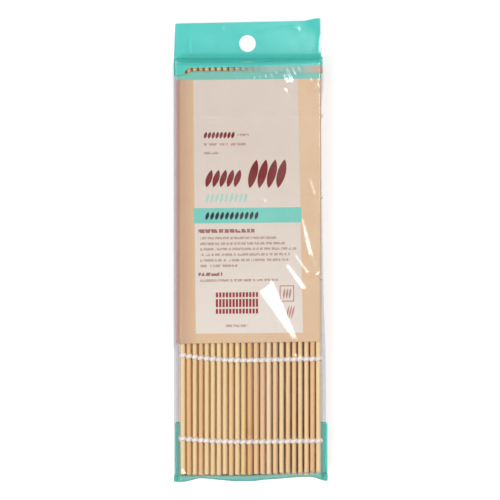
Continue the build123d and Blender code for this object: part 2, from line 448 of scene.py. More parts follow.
def twine_stick(vertices, faces, index, panel, hairs):
    """Both strands' turns round one stick in every row, with their loose hairs."""
    places, z = stick_places[panel], panel_z[panel]
    for row in range(cord_rows):
        y = row_y_at(row, places[index])
        for lane in (1, -1):
            over = lane if index % 2 == 0 else -lane
            phases = np.linspace(-0.5, 0.5, strand_steps)
            path = [strand_point(places, index, z, y, over, phase) for phase in phases]
            tube_round(vertices, faces, path, Vector((0, 1, 0)))
            for _ in range(hairs if over > 0 else hairs // 3):
                root = strand_point(places, index, z, y, over, cord_hairs.uniform(-0.5, 0.5))
                root.y += cord_hairs.uniform(-hair_root_share, hair_root_share) * strand_half_width
                lean = Vector((cord_hairs.uniform(-1.2, 1.2), cord_hairs.uniform(-1, 1), over * 0.6))
                add_hair(vertices, faces, root, lean.normalized(), cord_hairs.uniform(*hair_lengths))


def knot_point(centre, side, angle):
    """A point on the loop of a knot beside an edge stick."""
    across = side * knot_reach.x * math.sin(angle)
    return centre + Vector((across, knot_reach.y * math.cos(angle), knot_reach.z * math.sin(2 * angle)))


def end_knots(vertices, faces, index, side, panel):
    """The knots where both strands are tied off beside an edge stick, with frayed tails."""
    x, z = stick_places[panel][index], panel_z[panel]
    for row in range(cord_rows):
        centre = Vector((x + side * (stick_radius + knot_gap), row_y_at(row, x), z))
        path = [knot_point(centre, side, angle) for angle in np.linspace(0.2, 2.9, strand_steps)]
        tube_round(vertices, faces, path, Vector((0, 0.3, 1)))
        for _ in range(knot_hairs):
            outwards = side * cord_hairs.uniform(0.1, 0.6)
            lean = Vector((outwards, cord_hairs.uniform(-1, 1), cord_hairs.uniform(-0.6, 0.6)))
            add_hair(vertices, faces, centre, lean.normalized(), cord_hairs.uniform(*knot_hair_lengths))


cotton = cotton_material()
for index in range(sticks_per_panel):
    number = f"{index + 1:02d}"
    corners, sides = [], []
    twine_stick(corners, sides, index, "front", front_hairs)
    if index == sticks_per_panel - 1:
        end_knots(corners, sides, index, 1, "front")
    turns = mesh_piece(f"cotton_turns_{number}", corners, sides, cotton)
    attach(turns, front_body(index))
    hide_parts(f"front_cords_{number}")
for panel in ("middle", "back"):
    corners, sides = [], []
    for index in range(sticks_per_panel):
        twine_stick(corners, sides, index, panel, hidden_hairs)
    if panel == "back":
        end_knots(corners, sides, 0, -1, panel)
        for corner in corners:
            corner.z = max(corner.z, row_floor_z)
    turns = mesh_piece(f"cotton_turns_{panel}", corners, sides, cotton)
    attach(turns, f"{panel}_panel")
    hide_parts(f"{panel}_cords")

# Cords across the folds: at each edge of the folded mat both strands rise from one layer to the
# next. They stay slack.
fold_slack = 0.22 * mm
fold_steps = 9
fold_overrun_share = 0.02


def fold_point(low, high, y, side, lane, share):
    """A point on a strand that rises from one layer's edge to the next one's."""
    x = low.x + (high.x - low.x) * share + side * fold_slack * math.sin(math.pi * share)
    swing = lane * strand_swing * math.cos(math.pi * share)
    return Vector((x, y + swing, low.z + (high.z - low.z) * share))


for name, side, low_panel, high_panel, low_body, high_body in (
    ("right", 1, "back", "middle", "back_panel", "middle_panel"),
    ("left", -1, "middle", "front", "middle_panel", "front_01"),
):
    corners, sides = [], []
    edge_index = 0 if side < 0 else sticks_per_panel - 1
    low_x = stick_places[low_panel][edge_index] + side * stick_pitch / 2
    high_x = stick_places[high_panel][edge_index] + side * stick_pitch / 2
    low_z, high_z = panel_z[low_panel], panel_z[high_panel]
    low, high = Vector((low_x, 0, low_z)), Vector((high_x, 0, high_z))
    shares = np.linspace(-fold_overrun_share, 1 + fold_overrun_share, fold_steps)
    for row in range(cord_rows):
        y = row_y_at(row, side * edge_stick_x)
        for lane in (1, -1):
            path = [fold_point(low, high, y, side, lane, share) for share in shares]
            tube_round(corners, sides, path, Vector((0, 1, 0)))
    fold = mesh_piece(f"cotton_fold_{name}", corners, sides, cotton)
    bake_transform(fold)
    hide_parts(f"fold_cords_{name}")

# Paper insert: one sheet of printed paper over the front panel, its long sides folded down round the
# mat. It is pressed onto three cord rows, which cross it as soft creases, and it is printed with
# bamboo leaves, plain rules and a little mat.
insert_low, insert_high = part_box("insert_sheet")
paper_thickness = 0.15 * mm
paper_top_z = insert_high.z - paper_thickness / 2
left_turn_width = 4.0 * mm
left_turn_height = 6.0 * mm
right_turn_radius = 1.1 * mm
side_height = 6.0 * mm
insert_left_x = insert_low.x - 2.3 * mm
insert_right_x = insert_high.x - 0.9 * mm
insert_top_slant = 0.4 * mm
insert_low_slant = 0.65 * mm
left_corner_drop = 2.4 * mm
left_corner_x = -33 * mm
left_corner_width = 10 * mm
crease_rows = (2, 3, 4)
crease_offset = 0.4 * mm
crease_height = 0.3 * mm
crease_width = 2.4 * mm
crease_wave = 7 * mm
paper_wave_height = 0.1 * mm
paper_wave = 22 * mm
left_turn_steps = 9
right_turn_steps = 6
insert_columns = 104
insert_rows = 160
# The print's places, in mm: a box is its left, right, low and high sides
print_tilt = 0.010
teal_strip_low = 100.7
pale_panel_low = -49.2
pale_panel_left = -33.2
pale_panel_right = 29.55
pale_panel_leans = (-0.0100, 0.0214)
teal_bar = (-34.0, 29.7, 15.9, 24.9)
# Rows of leaves: their box, then their number, their lean in mm and their girth in shares of a step
red_leaves = [
    ((-28.5, -4.5, 37.2, 47.4), 5, 3.0, 0.44),
    ((-3.6, 22.6, 36.4, 53.2), 4, 4.0, 0.46),
    ((-28.6, -9.2, 65.9, 69.9), 8, 0.9, 0.42),
]
green_leaves = ((-28.0, -1.2, 28.0, 33.6), 9, 1.4, 0.30)
dark_leaves = ((-28.0, 5.2, 17.9, 22.6), 11, 1.2, 0.36)
small_leaves = [((18.2, 24.2, -29.0, -23.0), 3, 0.8, 0.34), ((19.8, 26.4, -41.0, -33.0), 3, 2.0, 0.34)]
# Thin rules: left, right and the height of the middle
thin_rules = [
    (-8.2, -1.4, 67.9), (-28.4, -3.2, 62.5), (-28.4, -18.8, 57.4), (-30.2, 14.8, 7.1), (-30.2, 20.0, 3.8),
    (-30.2, 26.6, 0.6), (-30.2, 22.8, -2.7), (-30.2, 22.8, -6.0), (-30.2, -8.2, -9.3), (-30.2, 16.0, -17.9),
    (-15.0, -0.4, -44.8),
]
thin_rule_half_height = 0.75
thick_rules = [(-31.2, 2.0, 10.2, 12.4), (-31.2, -17.0, -15.2, -13.2)]
little_mat = (-21.2, 4.4, -37.6, -25.0)
little_mat_sticks = 13
little_mat_cords = [(-21.8, 5.0, -28.9, -27.9), (-21.8, 5.0, -34.7, -33.7)]
leaf_frame = ((16.8, 25.4, -30.8, -21.2), (17.4, 24.8, -30.2, -21.8))


def shaped_sheet(name, columns, rows, shape):
    """A sheet: a grid whose corners go where shape(across, along), shares from 0 to 1, puts them."""
    bpy.ops.object.select_all(action="DESELECT")
    bpy.ops.mesh.primitive_grid_add(x_subdivisions=columns, y_subdivisions=rows, size=1)
    sheet = bpy.context.object
    sheet.name = name
    corners = np.empty(len(sheet.data.vertices) * 3)
    sheet.data.vertices.foreach_get("co", corners)
    corners = corners.reshape(-1, 3)
    places = shape(corners[:, 0] + 0.5, corners[:, 1] + 0.5)
    sheet.data.vertices.foreach_set("co", np.stack(places, axis=1).ravel())
    sheet.data.update()
    bpy.ops.object.shade_smooth()
    return sheet


def eased(values):
    """Shares held between 0 and 1, with a soft start and a soft end."""
    held = np.clip(values, 0, 1)
    return held * held * (3 - 2 * held)


def soft_noise(xs, ys, size, seed):
    """Smooth noise from -1 to 1 over a plane, with features of the given size."""
    return np.array([noise.noise(Vector((x / size, y / size, seed))) for x, y in zip(xs, ys)])


def insert_profile():
    """The sheet seen from its end: a full turn down the left side, a tight one down the right."""
    points = []
    for angle in np.linspace(0, math.pi / 2, left_turn_steps):
        points.append((insert_left_x + left_turn_width * (1 - math.sin(angle)),
                       paper_top_z - left_turn_height * (1 - math.cos(angle))))
    points.reverse()
    for angle in np.linspace(0, math.pi / 2, right_turn_steps):
        points.append((insert_right_x - right_turn_radius * (1 - math.sin(angle)),
                       paper_top_z - right_turn_radius * (1 - math.cos(angle))))
    points.append((insert_right_x, paper_top_z - side_height))
    return np.array(points)


def insert_shape(across, along):
    """Where the paper's corners lie: on the profile, slanted at both ends, creased by the cords."""
    profile = insert_profile()
    steps = np.hypot(*np.diff(profile, axis=0).T)
    lengths = np.concatenate([[0], np.cumsum(steps)])
    xs = np.interp(across * lengths[-1], lengths, profile[:, 0])
    zs = np.interp(across * lengths[-1], lengths, profile[:, 1])
    flat = eased((xs - insert_left_x) / left_turn_width) * eased((insert_right_x - xs) / right_turn_radius)
    left_drop = left_corner_drop * eased((left_corner_x - xs) / left_corner_width)
    top_y = insert_high.y + insert_top_slant * xs / edge_stick_x - left_drop
    bottom_y = insert_low.y + insert_low_slant * xs / edge_stick_x
    ys = bottom_y + (top_y - bottom_y) * along
    for row in crease_rows:
        row_y = row_first_y + row * row_step - crease_offset
        unevenness = 0.75 + 0.25 * np.sin(xs / crease_wave + row)
        zs = zs + crease_height * flat * np.exp(-((ys - row_y) / crease_width) ** 2) * unevenness
    zs = zs - crease_height + paper_wave_height * flat * soft_noise(xs, ys, paper_wave, 3.1)
    return xs, ys, zs


def place_in_mm(add):
    """A point's place on the piece in mm: all of it, its X and its Y."""
    place = add("ShaderNodeTexCoord").outputs["Object"]
    in_mm = add("ShaderNodeVectorMath", {"operation": "SCALE"}, _0=place, Scale=1 / mm).outputs[0]
    parts = add("ShaderNodeSeparateXYZ", Vector=in_mm)
    return in_mm, parts.outputs["X"], parts.outputs["Y"]


def box_marker(add, x, y):
    """A function that gives 1 inside a box in mm and 0 outside."""
    reckon = reckoner(add)
    flat = add("ShaderNodeCombineXYZ", X=x, Y=y).outputs[0]

    def box_mask(left, right, low, high):
        middle = ((left + right) / 2, (low + high) / 2, 0)
        half = ((right - left) / 2, (high - low) / 2, 1)
        away = add("ShaderNodeVectorMath", {"operation": "SUBTRACT"}, _0=flat, _1=middle).outputs[0]
        size = add("ShaderNodeVectorMath", {"operation": "ABSOLUTE"}, _0=away).outputs[0]
        over = add("ShaderNodeVectorMath", {"operation": "SUBTRACT"}, _0=size, _1=half).outputs[0]
        ends = add("ShaderNodeSeparateXYZ", Vector=over)
        return reckon("LESS_THAN", reckon("MAXIMUM", ends.outputs["X"], ends.outputs["Y"]), 0.0)

    return box_mask


def leaf_marker(add, x, y):
    """A function that gives 1 on the leaves of an upright row that fills a box in mm."""
    reckon = reckoner(add)

    def leaf_row(box, count, slant, width):
        left, right, low, high = box
        rise = add("ShaderNodeMapRange", {"clamp": True}, Value=y, From_Min=low, From_Max=high).outputs[0]
        leaned = reckon("SUBTRACT", x, reckon("MULTIPLY", rise, slant))
        step = (right - left - slant) / count
        share = reckon("FRACT", reckon("DIVIDE", reckon("SUBTRACT", leaned, left), step), 0.0)
        aside = reckon("ABSOLUTE", reckon("SUBTRACT", share, 0.5), 0.0)
        taper = reckon("MULTIPLY", rise, reckon("SUBTRACT", 1.0, rise))
        girth = reckon("MULTIPLY", reckon("POWER", reckon("MULTIPLY", taper, 4.0), 0.8), width)
        past_left = reckon("GREATER_THAN", leaned, left)
        before_right = reckon("LESS_THAN", leaned, right - slant)
        inside = reckon("MULTIPLY", past_left, before_right)
        return reckon("MULTIPLY", reckon("LESS_THAN", aside, girth), inside)

    return leaf_row


def little_mat_mask(reckon, box_mask, x):
    """1 on the sticks of the little mat, 0 in its gaps and outside."""
    left, right, low, high = little_mat
    pitch = (right - left) / little_mat_sticks
    share = reckon("FRACT", reckon("DIVIDE", reckon("SUBTRACT", x, left), pitch), 0.0)
    sticks = reckon("LESS_THAN", reckon("ABSOLUTE", reckon("SUBTRACT", share, 0.5), 0.0), 0.34)
    return reckon("MULTIPLY", box_mask(left, right, low, high), sticks)


def pale_panel_mask(reckon, x, y):
    """1 on the pale panel, whose long sides lean a little."""
    left_lean, right_lean = pale_panel_leans
    left_x = reckon("SUBTRACT", x, reckon("MULTIPLY", y, left_lean))
    right_x = reckon("ADD", x, reckon("MULTIPLY", y, right_lean))
    past_left = reckon("GREATER_THAN", left_x, pale_panel_left)
    before_right = reckon("LESS_THAN", right_x, pale_panel_right)
    between = reckon("MULTIPLY", past_left, before_right)
    return reckon("MULTIPLY", between, reckon("GREATER_THAN", y, pale_panel_low))


def paper_colours(add, x, y):
    """The unprinted grounds: beige with painted shade, darker towards the turned side and darkest on it, and
    the pale panel's two ends.
    """
    # Painted shade: the beige darkens towards the left, where the paper rounds away from the light, and turns
    # a darker mauve-brown on the turned-down side.
    left_shade_share = add("ShaderNodeMapRange", Value=x, From_Min=-31.0, From_Max=-40.0).outputs[0]
    beige = coloured_over(add, left_shade_share, linear(228, 196, 160), linear(208, 172, 138))
    turned_side_shade_share = add("ShaderNodeMapRange", Value=x, From_Min=-41.4, From_Max=-42.8).outputs[0]
    beige = coloured_over(add, turned_side_shade_share, beige, linear(190, 142, 130))
    low_share = add("ShaderNodeMapRange", Value=y, From_Min=60.0, From_Max=-50.0).outputs[0]
    return beige, coloured_over(add, low_share, linear(224, 210, 197), linear(236, 227, 215))


def broken_ink(add, flat, in_mm):
    """Two shares that break up rules: dashes, and the same dashes with worn ink."""
    dash_place = add("ShaderNodeMapping", Vector=flat, Scale=(1.0, 0.31, 1.0)).outputs[0]
    dashes = add("ShaderNodeTexNoise", {"noise_dimensions": "3D"}, Vector=dash_place, Scale=0.9, Detail=0.0)
    dashed = reckoner(add)("GREATER_THAN", dashes.outputs["Fac"], 0.42)
    fine = add("ShaderNodeTexNoise", Vector=in_mm, Scale=2.2, Detail=1.0).outputs["Fac"]
    worn = add("ShaderNodeMapRange", Value=fine, From_Min=0.35, From_Max=0.65, To_Min=0.45).outputs[0]
    return dashed, reckoner(add)("MULTIPLY", dashed, worn)


def paper_material():
    """Matt printed paper: a teal strip and bar, a pale panel, and motifs in dark red and brown."""
    material, add = new_material("printed_paper")
    reckon = reckoner(add)
    in_mm, x, untilted_y = place_in_mm(add)
    y = reckon("SUBTRACT", untilted_y, reckon("MULTIPLY", x, print_tilt))
    box_mask = box_marker(add, x, y)
    leaf_row = leaf_marker(add, x, y)

    def most(masks):
        total = masks[0]
        for mask in masks[1:]:
            total = reckon("MAXIMUM", total, mask)
        return total

    beige, paper = paper_colours(add, x, y)
    dashed, worn_dashes = broken_ink(add, add("ShaderNodeCombineXYZ", X=x, Y=y).outputs[0], in_mm)
    rules = most([
        box_mask(left, right, level - thin_rule_half_height, level + thin_rule_half_height)
        for left, right, level in thin_rules
    ])
    heads = most([box_mask(*box) for box in thick_rules])
    frame_line = reckon("SUBTRACT", *[box_mask(*box) for box in leaf_frame])
    small_motifs = reckon("MAXIMUM", frame_line, most([leaf_row(*row) for row in small_leaves]))
    colour = coloured_over(add, pale_panel_mask(reckon, x, y), beige, paper)
    for mask, ink in (
        (reckon("GREATER_THAN", y, teal_strip_low), linear(124, 200, 184)),
        (box_mask(*teal_bar), linear(122, 210, 195)),
        (most([leaf_row(*row) for row in red_leaves]), linear(126, 4, 12)),
        (leaf_row(*green_leaves), linear(172, 216, 202)),
        (leaf_row(*dark_leaves), linear(16, 34, 44)),
        (reckon("MULTIPLY", reckon("MULTIPLY", rules, worn_dashes), 0.7), linear(150, 80, 70)),
        (reckon("MULTIPLY", reckon("MULTIPLY", heads, dashed), 0.8), linear(142, 50, 42)),
        (little_mat_mask(reckon, box_mask, x), linear(158, 40, 44)),
        (most([box_mask(*box) for box in little_mat_cords]), paper),
        (reckon("MULTIPLY", small_motifs, 0.75), linear(176, 84, 80)),
    ):
        colour = coloured_over(add, mask, colour, ink)

    place = add("ShaderNodeTexCoord").outputs["Object"]
    fibre = add("ShaderNodeTexNoise", Vector=place, Scale=3400.0, Detail=3.0, Roughness=0.6).outputs["Fac"]
    mottle = add("ShaderNodeTexNoise", Vector=place, Scale=90.0, Detail=3.0).outputs["Fac"]
    grain = add("ShaderNodeMapRange", Value=fibre, To_Min=0.975, To_Max=1.02).outputs[0]
    tint = add("ShaderNodeMapRange", Value=mottle, To_Min=0.97, To_Max=1.03).outputs[0]
    both = reckon("MULTIPLY", grain, tint)
    toned = add("ShaderNodeVectorMath", {"operation": "SCALE"}, _0=colour, Scale=both).outputs[0]
    bump = add("ShaderNodeBump", Height=fibre, Strength=0.12, Distance=0.0001).outputs[0]
    sheet = add("ShaderNodeBsdfPrincipled", Base_Color=toned, Roughness=0.72, Normal=bump)
    sheet.inputs["Specular IOR Level"].default_value = 0.3
    add("ShaderNodeOutputMaterial", Surface=sheet.outputs[0])
    return material


def give_thickness(sheet, thickness):
    """Make a sheet solid, as far to one side of its face as to the other."""
    wall = sheet.modifiers.new("wall", "SOLIDIFY")
    wall.thickness = thickness
    wall.offset = 0.0
    finish_modifiers(sheet)


insert = shaped_sheet("paper_insert", insert_columns, insert_rows, insert_shape)
insert.data.materials.append(paper_material())
give_thickness(insert, paper_thickness)
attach(insert, "bag")
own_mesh(insert)
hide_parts("insert_sheet")

# Back film and flap: the clear back of the bag lies flat on the table. Past the bag's mouth the film
# is printed teal, folded behind as a flap and stuck down, so it shows through at both lower corners.
bag_low, bag_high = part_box("bag_back_film")
flap_low, flap_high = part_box("bag_flap")
header_low, header_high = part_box("bag_header")
film_low, film_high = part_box("bag_front_film")
film_thickness = flap_high.z - flap_low.z
back_thickness_share = 0.9
bag_left_x = bag_low.x
mouth_right_x = bag_high.x
mouth_y = bag_low.y
seal_y = header_low.y
bag_top_y = header_high.y
step_length = 1.4 * mm
flap_overhang = 0.4 * mm
flap_corner = 1.2 * mm
mouth_softness = 2 * mm
mouth_softening_steps = 7
back_columns = 46
back_rows = 150
back_mouth_power = 8
flap_columns = 90
flap_rows = 34
# The mouth's edge: places across in mm, and how far the edge lies above the mouth's lowest line
mouth_lifts = [
    (-45.8, -0.1), (-44.8, -0.4), (-40.5, -0.4), (-37.9, -0.1), (-35.6, 0.6), (-33.2, 1.3), (-30.7, 2.05),
    (-25.7, 1.55), (-20.8, 1.05), (-15.9, 0.6), (-10.9, 0.05), (1.8, 0.15), (6.8, 0.9), (16.6, 1.55),
    (26.5, 2.45), (33.9, 2.75), (37.3, 2.4), (40.2, 1.4), (43.2, 0.2), (45.8, 0.2),
]
# The bag's right edge: places along in mm, and how far out the edge lies
right_edge = [
    (-137.5, 44.6), (-135.5, 45.3), (-134.0, 45.3), (-131.0, 44.6), (-126.0, 43.9), (-121.0, 44.1),
    (-100.0, 44.2), (-59.0, 44.0), (-50.0, 43.6), (-30.0, 42.9), (0.0, 42.3), (44.0, 41.7), (80.0, 41.5),
    (90.0, 41.9), (97.0, 42.8), (101.0, 42.9), (109.0, 42.3), (140.0, 42.3),
]


def mouth_edge(xs):
    """The wavy edge of the bag's mouth: where the film is folded back it isn't quite straight."""
    places, lifts = np.array(mouth_lifts).T * mm
    shifts = np.linspace(-mouth_softness, mouth_softness, mouth_softening_steps)
    return mouth_y + np.mean([np.interp(xs + shift, places, lifts) for shift in shifts], axis=0)


def bag_right(ys):
    """The bag's right edge: flared at the mouth, wide over the bare mat, drawn in beside the insert."""
    places, edges = np.array(right_edge).T * mm
    return np.interp(ys, places, edges)


def clear_film_parts(add):
    """Clear film for a material: see-through, a little hazy, lilac where it turns away, and glossy."""
    facing = add("ShaderNodeLayerWeight", Blend=0.5).outputs["Facing"]
    tint = add("ShaderNodeValToRGB", Fac=facing)
    paint_ramp(tint, [
        (0.0, (0.985, 0.983, 0.985, 1)),
        (0.6, (0.97, 0.962, 0.97, 1)),
        (0.97, (0.90, 0.86, 0.90, 1)),
    ])
    see_through = add("ShaderNodeBsdfTransparent", Color=tint.outputs[0]).outputs[0]
    place = add("ShaderNodeTexCoord").outputs["Object"]
    smear = add("ShaderNodeTexNoise", Vector=place, Scale=42.0, Detail=4.0, Roughness=0.6).outputs["Fac"]
    haze = add("ShaderNodeMapRange", Value=smear, From_Min=0.45, From_Max=0.75, To_Max=0.02).outputs[0]
    steep = add("ShaderNodeMapRange", Value=facing, From_Min=0.35, From_Max=0.9, To_Max=0.07).outputs[0]
    milk = add("ShaderNodeBsdfPrincipled", Base_Color=(0.95, 0.92, 0.95, 1), Roughness=0.6).outputs[0]
    reckon = reckoner(add)
    hazy = add("ShaderNodeMixShader", _0=reckon("ADD", haze, steep), _1=see_through, _2=milk).outputs[0]
    rough = add("ShaderNodeMapRange", Value=smear, To_Min=0.10, To_Max=0.22).outputs[0]
    gloss = add("ShaderNodeBsdfGlossy", Color=(1, 1, 1, 1), Roughness=rough).outputs[0]
    gloss_share = reckon("MINIMUM", add("ShaderNodeFresnel", IOR=1.3).outputs[0], 0.09)
    return add("ShaderNodeMixShader", _0=gloss_share, _1=hazy, _2=gloss).outputs[0]


def clear_film_material():
    """The bag's clear film."""
    material, add = new_material("clear_film")
    add("ShaderNodeOutputMaterial", Surface=clear_film_parts(add))
    return material


def printed_film_material(name, dull, bright):
    """Teal printed film: even, opaque and glossy."""
    material, add = new_material(name)
    place = add("ShaderNodeTexCoord").outputs["Object"]
    cloud = add("ShaderNodeTexNoise", Vector=place, Scale=45.0, Detail=3.0).outputs["Fac"]
    shade = add("ShaderNodeValToRGB", Fac=cloud)
    paint_ramp(shade, [(0.3, dull), (0.7, bright)])
    rough = add("ShaderNodeMapRange", Value=cloud, To_Min=0.14, To_Max=0.26).outputs[0]
    film = add("ShaderNodeBsdfPrincipled", Base_Color=shade.outputs[0], Roughness=rough)
    add("ShaderNodeOutputMaterial", Surface=film.outputs[0])
    return material


def back_shape(across, along):
    """The back film: on the table, with a low step up over the flap."""
    ys = mouth_y + (seal_y - mouth_y) * along
    xs = bag_left_x + (bag_right(ys) - bag_left_x) * across
    ys = ys + (mouth_edge(xs) - mouth_y) * (1 - along) ** back_mouth_power
    lift = film_thickness * 2 * (1 - eased((ys - flap_high.y) / step_length))
    return xs, ys, film_thickness / 2 + lift


def flap_shape(across, along):
    """The flap: flat under the back film, with round corners at its free end."""
    low_x = flap_low.x - flap_overhang
    high_x = flap_high.x + flap_overhang
    xs = low_x + (high_x - low_x) * across
    side = np.minimum(xs - low_x, high_x - xs)
    cut = flap_corner - np.sqrt(np.maximum(flap_corner ** 2 - np.maximum(flap_corner - side, 0) ** 2, 0))
    low_y = mouth_edge(xs)
    ys = low_y + (flap_high.y - cut - low_y) * along
    return xs, ys, np.full_like(xs, film_thickness / 2)


clear_film = clear_film_material()
printed_film = printed_film_material("printed_film", linear(76, 202, 192), linear(88, 208, 199))
# Painted light: the flap's teal is mixed lighter than the header's, though both are the same print, to stand
# in for light where the flap lies in shade under the mat and film.
flap_film_painted_lighter = printed_film_material("flap_film_painted_lighter", linear(106, 238, 218), linear(120, 243, 226))
back_film = shaped_sheet("bag_back", back_columns, back_rows, back_shape)
back_film.data.materials.append(clear_film)
give_thickness(back_film, film_thickness * back_thickness_share)
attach(back_film, "bag")
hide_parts("bag_back_film")
flap = shaped_sheet("teal_flap", flap_columns, flap_rows, flap_shape)
flap.data.materials.append(flap_film_painted_lighter)
give_thickness(flap, film_thickness * back_thickness_share)
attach(flap, "flap")
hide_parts("bag_flap")

# Adhesive strip: a clear tacky band of glue along the flap, rolled onto it in one pass, which holds
# the flap to the back film. Its long edges are slightly uneven.
strip_low, strip_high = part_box("flap_adhesive")
strip_thickness_share = 0.8
strip_wander = 0.25 * mm
strip_wave = 6 * mm
strip_columns = 60
strip_rows = 6


def adhesive_material():
    """Clear glue, a little milky, with small bubbles."""
    material, add = new_material("adhesive")
    place = add("ShaderNodeTexCoord").outputs["Object"]
    bubbles = add("ShaderNodeTexVoronoi", Vector=place, Scale=900.0).outputs["Distance"]
    clear_share = add("ShaderNodeMapRange", Value=bubbles, To_Min=0.15, To_Max=0.35).outputs[0]
    glue = add("ShaderNodeBsdfPrincipled", Base_Color=(0.86, 0.88, 0.84, 1), Roughness=0.35).outputs[0]
    see_through = add("ShaderNodeBsdfTransparent").outputs[0]
    mixed = add("ShaderNodeMixShader", _0=clear_share, _1=glue, _2=see_through).outputs[0]
    add("ShaderNodeOutputMaterial", Surface=mixed)
    return material


def adhesive_shape(across, along):
    """The strip's face, with slightly uneven long edges."""
    xs = strip_low.x + (strip_high.x - strip_low.x) * across
    wander = strip_wander * np.sin(xs / strip_wave) * (2 * along - 1)
    ys = strip_low.y + (strip_high.y - strip_low.y) * along + wander
    return xs, ys, np.full_like(xs, (strip_low.z + strip_high.z) / 2)


strip = shaped_sheet("adhesive_strip", strip_columns, strip_rows, adhesive_shape)
strip.data.materials.append(adhesive_material())
give_thickness(strip, (strip_high.z - strip_low.z) * strip_thickness_share)
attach(strip, "flap")
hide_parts("flap_adhesive")

# Front film: the bag's clear front, drawn over the mat and down to welded seams at both sides. It is
# slack, so slanting folds and small creases catch the light. Its top end is printed teal.
film_columns = 122
film_rows = 330
front_thickness_share = 0.8
crown_z = film_high.z - 0.04 * mm
bare_crown_z = crown_z - 0.75 * mm
foot_z = film_low.z + film_thickness / 2
wall_share = 0.13
seam_width = 2.2 * mm
most_seam_share = 0.62
seal_overlap = 1.0 * mm
crown_right_x = stick_places["middle"][-1] + stick_radius + 0.1 * mm
covered_crown_left_x = insert_left_x - 0.35 * mm
bare_crown_left_x = stick_places["front"][0] - stick_radius - 0.45 * mm
left_round_width = left_turn_width + 0.2 * mm
left_round_share = 0.8
mouth_gap = 0.3 * mm
least_low_run = 1.6 * mm
high_run_gap = 0.9 * mm
front_mouth_power = 6
wall_softness = 0.3
low_end_softness = 0.4
covered_start_y = insert_low.y - 3 * mm
covered_run = 5 * mm
crown_rise_start_y = insert_low.y - 7 * mm
crown_rise_run = 6 * mm
bare_start_y = insert_low.y + 2 * mm
bare_run = 6 * mm
film_slack_depth = 0.25 * mm
film_waves = ((0.10 * mm, 24 * mm, 7.3), (0.035 * mm, 7 * mm, 2.9))
bare_rows = (0, 1)
row_ridge_height = 0.22 * mm
row_ridge_width = 2.0 * mm
row_crumple_size = 3.2 * mm
corner_crumple_height = 0.5 * mm
corner_crumple_size = 2.6 * mm
corner_length = 9 * mm
left_corner_reach = 9 * mm
right_corner_reach = 8 * mm
glare_slope = 0.122
glare_across = Vector((0.87, 0.5))
fold_fade = 1.2 * mm
fold_least_fade_share = 0.08
fold_most_fade_share = 0.45
fold_near_share = 2.5
fold_hollow_share = 0.42
crumple_pitch = 3.2 * mm
crumple_lit_share = 0.75
crumple_fade = 0.16
crumple_edge_share = 1.6
wrinkle_fade = 0.25
# Folds that catch the light: start and end in mm, then their width in mm at each end
lit_folds = [
    ((7.6, -20.5), (26.4, -54.0), 11.0, 2.2),
    ((30.0, 18.5), (35.2, -4.2), 1.0, 2.4),
    ((33.6, 2.0), (37.6, -10.2), 0.4, 0.6),
    ((25.4, -2.6), (33.6, -14.0), 0.9, 1.3),
    ((20.6, -8.6), (31.6, -23.6), 1.8, 2.6),
    ((34.4, 41.6), (37.6, 32.2), 0.7, 1.0),
    ((3.6, 30.0), (8.6, 29.2), 0.9, 1.2),
    ((19.0, 105.4), (23.2, 98.8), 2.6, 3.4),
    ((38.6, 100.0), (41.4, 95.2), 2.6, 2.6),
    ((-38.4, -118.0), (-35.6, -128.6), 0.5, 0.8),
    ((15.8, -57.2), (22.6, -61.2), 2.0, 2.4),
    ((22.8, -58.0), (29.0, -64.0), 1.6, 1.2),
    ((-31.2, 95.2), (-30.8, 93.4), 0.8, 0.8),
    ((36.4, -116.6), (39.2, -119.8), 0.8, 1.2),
    ((19.8, -76.0), (18.9, -84.0), 0.4, 0.5),
    ((30.6, -94.0), (31.6, -104.0), 0.4, 0.5),
]
# Crumpled strips whose small facets catch it: start and end in mm, then their half width at each end
lit_crumples = [
    ((12.0, 103.0), (23.4, 103.6), 1.6, 3.2),
    ((21.4, 103.6), (30.0, 107.4), 2.6, 0.8),
    ((14.6, 96.2), (22.8, 94.4), 0.5, 1.2),
    ((35.4, 100.8), (42.6, 96.6), 0.9, 3.0),
    ((-22.0, -59.2), (26.0, -58.6), 0.8, 1.0),
    ((-28.0, -108.9), (0.0, -109.4), 0.8, 0.8),
    ((-4.0, 101.0), (10.0, 102.8), 0.3, 0.7),
    ((17.0, -58.4), (28.0, -62.6), 1.2, 1.0),
]
# Soft wrinkles that only shade: start, end, height and width in mm
wrinkles = [
    ((-34.0, 80.6), (4.0, 79.4), 0.14, 1.0),
    ((30.0, -15.0), (40.5, -14.4), 0.30, 0.8),
    ((-44.0, -128.0), (-39.0, -134.5), 0.4, 1.0),
    ((42.0, -120.0), (40.0, -133.0), 0.4, 0.9),
    ((-43.0, 34.6), (-36.0, 32.0), 0.16, 0.9),
    ((-43.0, -16.4), (-37.0, -17.6), 0.16, 0.9),
    ((-14.0, 95.0), (12.0, 96.6), 0.14, 0.9),
    ((14.0, -64.0), (24.0, -100.0), 0.12, 1.0),
    ((26.0, -62.0), (30.0, -98.0), 0.12, 0.9),
]


def along_and_across(xs, ys, start, end):
    """Share of the way along a line, and the distance to its right, for points on a plane."""
    start, end = Vector(start) * mm, Vector(end) * mm
    way = (end - start).normalized()
    along = ((xs - start.x) * way.x + (ys - start.y) * way.y) / (end - start).length
    aside = Vector((-way.y, way.x))
    if aside.dot(glare_across) < 0:
        aside = -aside
    return along, (xs - start.x) * aside.x + (ys - start.y) * aside.y


def tapered(along, first_width, last_width):
    """The width along a strip that is so many mm wide at its ends."""
    return (first_width + (last_width - first_width) * np.clip(along, 0, 1)) * mm


